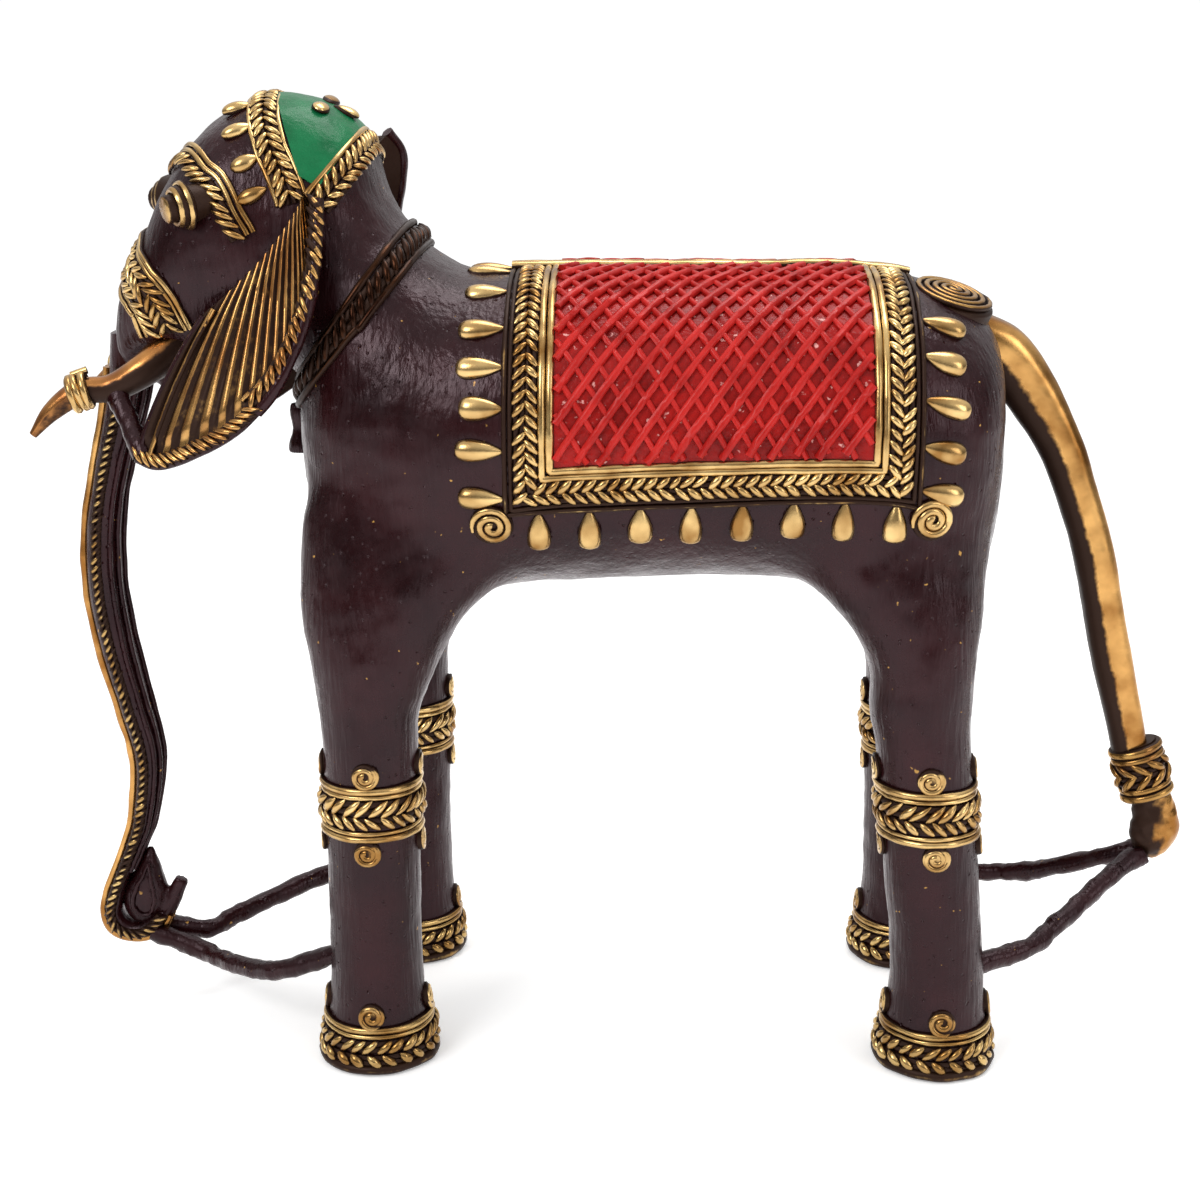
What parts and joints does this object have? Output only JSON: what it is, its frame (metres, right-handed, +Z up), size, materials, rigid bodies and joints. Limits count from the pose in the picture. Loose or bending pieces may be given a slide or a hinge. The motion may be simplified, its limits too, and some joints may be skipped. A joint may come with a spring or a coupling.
{
  "type": "elephant figurine",
  "caption": "Standing elephant cast in brass, dark patina with polished rope and wire ornament, a red lattice blanket and a green cap, stays from trunk and tail to the legs.",
  "frame": {"origin": "on the floor, under the middle of the whole figure", "axes": "+Z up, the head faces -X, the blanket side nearest in the picture faces -Y"},
  "size_m": [0.2456, 0.0808, 0.2027],
  "materials": {
    "patina": "dark brown patina, waxed",
    "brass": "hand polished on the high parts, dark in the hollows",
    "red_paint": "brushed red enamel",
    "green_paint": "brushed green enamel"
  },
  "bodies": {
    "root": {"torso": "patina", "head": "patina", "trunk": "patina", "tail": "brass", "near_front_leg": "patina", "near_hind_leg": "patina", "far_front_leg": "patina", "far_hind_leg": "patina", "near_front_foot_band": "brass", "near_hind_foot_band": "brass", "far_front_foot_band": "brass", "far_hind_foot_band": "brass", "near_front_anklet": "brass", "near_hind_anklet": "brass", "far_front_anklet": "brass", "far_hind_anklet": "brass", "collar": "patina", "chest_pendant": "patina", "near_ear": "brass", "far_ear": "brass", "near_eye": "brass", "far_eye": "brass", "near_tusk": "brass", "far_tusk": "brass", "near_tusk_ring": "brass", "far_tusk_ring": "brass", "forehead_band": "brass", "muzzle_band": "brass", "cap_front_band": "brass", "cap_rear_band": "brass", "cap_field": "green_paint", "cap_rosette": "brass", "trunk_ridge": "brass", "near_trunk_rope": "brass", "far_trunk_rope": "brass", "trunk_tip": "brass", "tail_ring": "brass", "tail_tuft": "brass", "tail_root_boss": "brass", "near_blanket_field": "red_paint", "near_blanket_border": "brass", "far_blanket_field": "red_paint", "far_blanket_border": "brass", "spine_wires": "brass", "near_front_stay": "patina", "near_hind_stay": "patina", "near_tusk_stay": "patina", "far_front_stay": "patina", "far_hind_stay": "patina", "far_tusk_stay": "patina"}
  },
  "joints": []
}
